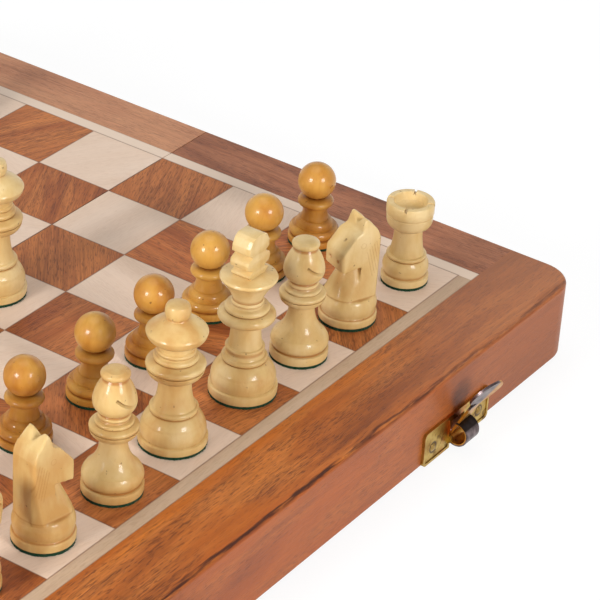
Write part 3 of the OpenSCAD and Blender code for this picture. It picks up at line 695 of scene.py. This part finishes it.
# the cross by its half thickness, and by its half widths and heights
cross_half_t = 3.3
cross = ((3.4, 40.9), (3.8, 41.6), (4.7, 42.4), (4.7, 43.0), (3.0, 43.9), (3.4, 44.3), (5.2, 45.2),
         (5.6, 46.6), (5.3, 47.6), (3.2, 48.8), (3.6, 49.2), (4.9, 50.0), (4.8, 52.0), (3.6, 54.2),
         (2.4, 55.0), (0.8, 55.2))
first_w, first_z = cross[0]
bpy.ops.object.select_all(action="DESELECT")
bpy.ops.mesh.primitive_plane_add(size=2 * first_w * mm)
finial = bpy.context.object
finial.data.transform(Matrix.Translation((0, 0, first_z * mm))
                      @ Matrix.Diagonal((1, cross_half_t / first_w, 1, 1)))
bpy.ops.object.mode_set(mode="EDIT")
bpy.ops.mesh.select_all(action="SELECT")
for (last_w, last_z), (w, z) in zip(cross, cross[1:]):
    bpy.ops.mesh.extrude_region_move(TRANSFORM_OT_translate={"value": (0, 0, (z - last_z) * mm)})
    bpy.ops.transform.resize(value=(w / last_w, 1, 1), center_override=(0, 0, z * mm))
bpy.ops.mesh.select_all(action="SELECT")
bpy.ops.mesh.normals_make_consistent(inside=False)
bpy.ops.object.mode_set(mode="OBJECT")
finial.data.attributes.new("hollow", "FLOAT", "POINT")
eased = finial.modifiers.new("eased", "BEVEL")
eased.width = 0.6 * mm
eased.segments = 3
eased.limit_method = "ANGLE"
eased.angle_limit = math.radians(20)
bpy.ops.object.modifier_apply(modifier="eased")
only(king)
finial.select_set(True)
bpy.ops.object.join()

# ---- Knights -----------------------------------------------------------------------------------
# The foot and the collar are turned, and the horse's head is carved from the block above them: the
# jaw, the ears and the mane's five cuts by knife, with the edges eased by hand sanding.


def carved_knight(node, turn):
    """A knight that faces the given way, from a copy of its node's block, in place on the board."""
    copy = bpy.data.objects.new(node + "_carved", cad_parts[node].data.copy())
    bpy.context.scene.collection.objects.link(copy)
    only(copy)
    bpy.ops.object.mode_set(mode="EDIT")
    bpy.ops.mesh.select_all(action="SELECT")
    bpy.ops.mesh.remove_doubles(threshold=0.00001)
    bpy.ops.mesh.dissolve_limited(angle_limit=math.radians(1.5))
    bpy.ops.mesh.select_all(action="DESELECT")
    bpy.ops.object.mode_set(mode="OBJECT")

    # "upright" brings a point to a knight that stands at the origin and looks along X
    low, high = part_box(node)
    upright = (Matrix.Rotation(math.radians(-turn), 4, "Z")
               @ Matrix.Translation((-(low.x + high.x) / 2, -(low.y + high.y) / 2, -low.z)))
    of_felt = [(upright @ point.co).z < (felt_t - 0.015) * mm for point in copy.data.vertices]
    copy.data.vertices.foreach_set("select", of_felt)
    bpy.ops.object.mode_set(mode="EDIT")
    bpy.ops.mesh.delete(type="VERT")
    bpy.ops.object.mode_set(mode="OBJECT")

    # the mane's cuts are made shallow, with their floor just under the cheek
    cut_floor = 4.75
    for point in copy.data.vertices:
        x, y, z = upright @ point.co / mm
        if x < -2.4 and 4.3 < abs(y) < 4.5 and 19 < z < 30.5:
            point.co = upright.inverted() @ (Vector((x, math.copysign(cut_floor, y), z)) * mm)

    evened = copy.modifiers.new("evened", "REMESH")
    evened.mode = "VOXEL"
    evened.voxel_size = 0.3 * mm
    bpy.ops.object.modifier_apply(modifier="evened")
    heights = [(upright @ point.co).z / mm for point in copy.data.vertices]
    for part, from_z, rounds in (("head", 10.4, 7), ("ears", 33.0, 14)):
        group = copy.vertex_groups.new(name=part)
        group.add([i for i, z in enumerate(heights) if z > from_z], 1.0, "REPLACE")
        sanded = copy.modifiers.new("sanded", "SMOOTH")
        sanded.vertex_group = part
        sanded.factor = 0.6
        sanded.iterations = rounds
        bpy.ops.object.modifier_apply(modifier="sanded")

    # dust and painted shade in the groove over the foot and under the head, and painted shade in the
    # nostrils, round the eyes and along the mane's cuts
    groove_z, seam_z = 3.75, 10.1
    nostril, nostril_r = (5.9, 2.1, 23), 0.7
    eye, eye_r = (-0.8, 28.2), 0.9
    first_cut, cut_step, lean = (-6.6, 24.5), 0.8, math.radians(14)
    depth = copy.data.attributes.new("hollow", "FLOAT", "POINT")
    for point, value in zip(copy.data.vertices, depth.data):
        x, y, z = upright @ point.co / mm
        marks = [0.0, 1 - abs(z - groove_z) / 0.35, 0.7 - abs(z - seam_z) / 0.6]
        marks.append(1.6 - math.dist(nostril, (x, abs(y), z)) / nostril_r)
        if abs(y) > 3.0:
            marks.append(0.5 - abs(math.dist(eye, (x, z)) - eye_r) / 0.6)
        for i in range(5):
            over, up = x - first_cut[0] - cut_step * i, z - first_cut[1] + cut_step * i
            if abs(y) > 3.5 and abs(up) < 4.5:
                marks.append(0.6 - abs(over * math.cos(lean) - up * math.sin(lean)) / 0.5)
        value.value = min(1.0, max(marks))
    return copy


# ---- The men's wood ----------------------------------------------------------------------------
# Boxwood: pale for the light side's pieces, honey-coloured for its pawns and stained black for the
# dark side. All of them are dipped in gloss lacquer, which dries with a fine orange peel.


def men_finish(name, pale, middle, deep, hollow, speck, gloss, spread):
    """Lacquered boxwood: streaks up the man, deeper bands, dust and painted shade in the grooves and a few
    dark specks.
    """
    finish, tree, shader = new_finish(name, Roughness=0.5, Specular_IOR_Level=0.25, Coat_Weight=gloss,
                                      Coat_Roughness=0.15, Coat_IOR=1.42)
    place = waved(tree, object_place(tree), 0.006, (60, 60, 35))
    streaks = noise(tree, place, (200, 200, 34), detail=3, roughness=0.5)
    clouds = noise(tree, place, (90, 90, 70), detail=3)
    mood = put(tree, "Attribute", attribute_name="mood").outputs["Fac"]
    level = plus(tree, times(tree, streaks, 0.4), times(tree, clouds, 0.6))
    level = plus(tree, level, between(tree, mood, 0.0, 1.0, -spread, spread))
    colour = shades(tree, level, (0.30, deep), (0.46, middle), (0.62, pale))
    fine = between(tree, noise(tree, place, (1300, 1300, 160), detail=2), 0.52, 0.75, 0.0, 0.14)
    colour = blended(tree, fine, colour, deep)
    # dust and painted shade darken the hollows
    dust_and_painted_shade = put(tree, "Attribute", attribute_name="hollow").outputs["Fac"]
    colour = blended(tree, between(tree, dust_and_painted_shade, 0.1, 0.85, 0.0, 0.8), colour, hollow)
    specks = between(tree, noise(tree, place, (620, 620, 620), detail=2), 0.715, 0.75)
    paint(tree, shader, blended(tree, times(tree, specks, 0.6), colour, speck))
    orange_peel = noise(tree, place, (620, 620, 620), detail=3, roughness=0.6)
    emboss(tree, shader, plus(tree, orange_peel, times(tree, specks, -0.6)), 0.5, 0.0003)
    return finish


light_box = men_finish("light_boxwood", tone(222, 194, 140), tone(212, 178, 116), tone(198, 152, 88),
                       tone(168, 108, 44), tone(120, 80, 40), 0.5, 0.14)
pawn_box = men_finish("honey_boxwood", tone(206, 154, 70), tone(190, 130, 50), tone(158, 92, 24),
                      tone(140, 76, 18), tone(90, 52, 24), 0.6, 0.10)
dark_box = men_finish("black_stained_boxwood", tone(52, 36, 30), tone(32, 23, 20), tone(18, 13, 12),
                      tone(8, 6, 6), tone(90, 66, 50), 0.85, 0.05)

# ---- The sets on their squares -----------------------------------------------------------------
# Two sets of sixteen men and a spare light queen stand loose on the board. Under each is a disc of
# green felt, cut by hand and so not quite round, and glued to the foot.
patterns = {"pawn": pawn, "rook": rook, "bishop": bishop, "queen": queen, "king": king}
# the ways that men with a cut, a notch or a cross face, in degrees; the other turned men stand at random
facing = {"light_king": 0, "light_rook": 0, "light_bishop": -75, "dark_king": -90, "dark_rook": -90,
          "dark_bishop": -90}
knight_facing = {"light_knight_b": -12, "light_knight_g": 157}
# how pale each man's own stick of wood was, from 0 for the ripest to 1; the others are drawn at random
moods = {"light_rook_a": 0.1, "light_knight_b": 0.0, "light_bishop_c": 0.3, "light_queen": 0.36,
         "light_king": 0.5, "light_bishop_f": 0.5, "light_knight_g": 0.5, "light_rook_h": 0.68,
         "light_queen_spare": 0.5, "light_pawn_e": 0.35, "light_pawn_f": 0.75, "light_pawn_g": 0.8}
random.seed(11)
for node in sorted(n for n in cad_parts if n.startswith(("light_", "dark_"))):
    side, kind = node.split("_")[:2]
    low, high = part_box(node)
    stand = Vector(((low.x + high.x) / 2, (low.y + high.y) / 2, low.z))
    if kind == "knight":
        man = carved_knight(node, knight_facing.get(node, -90))
    else:
        man = patterns[kind].copy()
        man.data = patterns[kind].data.copy()
        bpy.context.scene.collection.objects.link(man)
        turn = facing.get(side + "_" + kind, random.uniform(0, 360))
        man.data.transform(Matrix.Translation(stand) @ Matrix.Rotation(math.radians(turn), 4, "Z"))
    man.name = node + "_turned"
    mood = man.data.attributes.new("mood", "FLOAT", "POINT")
    mood.data.foreach_set("value", [moods.get(node, random.random())] * len(man.data.vertices))
    if side == "dark":
        finish, slot = dark_box, "men_wood_dark"
    elif kind == "pawn":
        finish, slot = pawn_box, "pawn_wood_light"
    else:
        finish, slot = light_box, "men_wood_light"
    man.data.materials.clear()
    man.data.materials.append(finish)
    man.data.polygons.foreach_set("material_index", [0] * len(man.data.polygons))
    only(man)
    bpy.ops.object.shade_smooth_by_angle(angle=math.radians(32))
    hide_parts(node)
    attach(man, node)

    felt_r = (high.x - low.x) / 2 - 0.1 * mm
    glue_gap = 0.02 * mm
    bpy.ops.object.select_all(action="DESELECT")
    bpy.ops.mesh.primitive_cylinder_add(vertices=sides, radius=felt_r, depth=felt_t * mm - glue_gap,
                                        location=stand + Vector((0, 0, felt_t * mm / 2)),
                                        end_fill_type="NGON")
    felt = bpy.context.object
    bpy.ops.object.transform_apply(location=True)
    bpy.ops.object.mode_set(mode="EDIT")
    bpy.ops.mesh.select_all(action="SELECT")
    bpy.ops.mesh.subdivide(number_cuts=1)
    bpy.ops.object.mode_set(mode="OBJECT")
    for point in felt.data.vertices:
        out = Vector((point.co.x - stand.x, point.co.y - stand.y, 0))
        point.co += out * (random.uniform(-0.018, 0.008) if out.length > felt_r * 0.9 else 0)
    felt.name = node + "_felt"
    felt.data.materials.append(green_felt)
    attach(felt, node)
for pattern in patterns.values():
    bpy.data.objects.remove(pattern)
